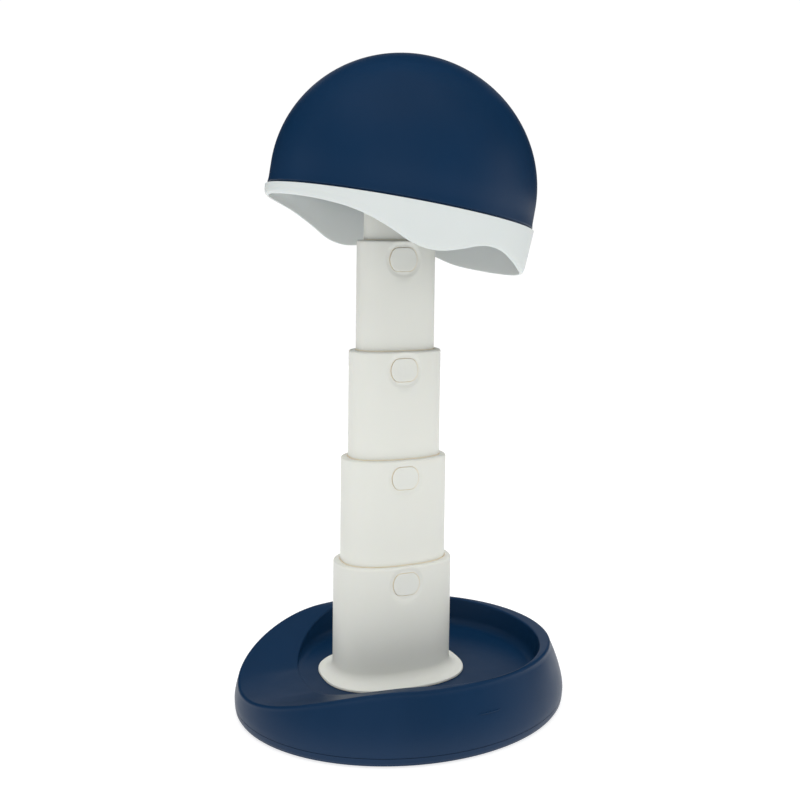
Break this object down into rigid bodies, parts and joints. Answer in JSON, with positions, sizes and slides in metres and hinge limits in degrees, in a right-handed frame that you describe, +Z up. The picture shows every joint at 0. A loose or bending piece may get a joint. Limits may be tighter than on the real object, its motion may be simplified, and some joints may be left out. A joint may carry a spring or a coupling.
{
  "type": "telescopic wig and cap stand",
  "caption": "Domed head form with a shaped skirt on a push-button telescopic oval column, standing in an oval tray with a raised rim.",
  "frame": {"origin": "centre of the tray's footprint, on the surface that the stand rests on", "axes": "+Z up along the column; +X towards the back of the head; the push-buttons face -Y"},
  "size_m": [0.2113, 0.1782, 0.3933],
  "materials": {
    "navy_plastic": "fine moulded satin, even navy blue",
    "ivory_plastic": "smooth moulded satin, warm off-white",
    "white_plastic": "smooth moulded satin, cool off-white",
    "acetal": "plain natural acetal",
    "grey_plastic": "plain moulded grey",
    "rubber": "matt",
    "steel": "zinc plated"
  },
  "bodies": {
    "base": {"tray_shell": "navy_plastic", "base_pan": "navy_plastic", "base_tube": "ivory_plastic", "foot_1": "rubber", "foot_2": "rubber", "foot_3": "rubber", "foot_4": "rubber", "pan_screw_1": "steel", "pan_screw_2": "steel", "pan_screw_3": "steel", "pan_screw_4": "steel", "flange_screw_1": "steel", "flange_screw_2": "steel", "flange_screw_3": "steel", "flange_screw_4": "steel"},
    "lower_section": {"lower_tube": "ivory_plastic", "lower_collar": "acetal", "lower_latch": "acetal"},
    "middle_section": {"middle_tube": "ivory_plastic", "middle_collar": "acetal", "middle_latch": "acetal"},
    "upper_section": {"upper_tube": "ivory_plastic", "upper_collar": "acetal", "upper_latch": "acetal"},
    "neck_section": {"neck_tube": "ivory_plastic", "neck_collar": "acetal", "neck_latch": "acetal", "neck_knuckle": "grey_plastic", "knuckle_screw_back": "steel", "knuckle_screw_front": "steel"},
    "head": {"dome_shell": "navy_plastic", "skirt_rim": "white_plastic", "head_mount": "grey_plastic", "tilt_pin": "steel", "tilt_nut": "steel", "washer_front": "acetal", "washer_rear": "acetal", "crown_screw_1": "steel", "crown_screw_2": "steel", "crown_screw_3": "steel", "crown_screw_4": "steel"},
    "base_release": {"base_button": "ivory_plastic"},
    "lower_release": {"lower_button": "ivory_plastic"},
    "middle_release": {"middle_button": "ivory_plastic"},
    "upper_release": {"upper_button": "ivory_plastic"}
  },
  "joints": [
    {"name": "lower_slide", "type": "slide", "parent": "base", "child": "lower_section", "axis": [0, 0, 1], "range_m": [-0.0613, 0], "deforming": ["lower_latch"]},
    {"name": "middle_slide", "type": "slide", "parent": "lower_section", "child": "middle_section", "axis": [0, 0, 1], "range_m": [-0.0613, 0], "deforming": ["middle_latch"]},
    {"name": "upper_slide", "type": "slide", "parent": "middle_section", "child": "upper_section", "axis": [0, 0, 1], "range_m": [-0.0613, 0], "deforming": ["upper_latch"]},
    {"name": "neck_slide", "type": "slide", "parent": "upper_section", "child": "neck_section", "axis": [0, 0, 1], "range_m": [-0.0613, 0], "deforming": ["neck_latch"]},
    {"name": "head_tilt", "type": "hinge", "parent": "neck_section", "child": "head", "pos_m": [-0.0072, 0, 0.362], "axis": [0, 1, 0], "range_deg": [-9.65, 10]},
    {"name": "base_button_press", "type": "slide", "parent": "base", "child": "base_release", "axis": [0, 1, 0], "range_m": [0, 0.0013], "stiffness_N_per_m": 300, "springref_m": -0.001, "deforming": ["lower_latch"]},
    {"name": "lower_button_press", "type": "slide", "parent": "lower_section", "child": "lower_release", "axis": [0, 1, 0], "range_m": [0, 0.0013], "stiffness_N_per_m": 300, "springref_m": -0.001, "deforming": ["middle_latch"]},
    {"name": "middle_button_press", "type": "slide", "parent": "middle_section", "child": "middle_release", "axis": [0, 1, 0], "range_m": [0, 0.0013], "stiffness_N_per_m": 300, "springref_m": -0.001, "deforming": ["upper_latch"]},
    {"name": "upper_button_press", "type": "slide", "parent": "upper_section", "child": "upper_release", "axis": [0, 1, 0], "range_m": [0, 0.0013], "stiffness_N_per_m": 300, "springref_m": -0.001, "deforming": ["neck_latch"]}
  ]
}
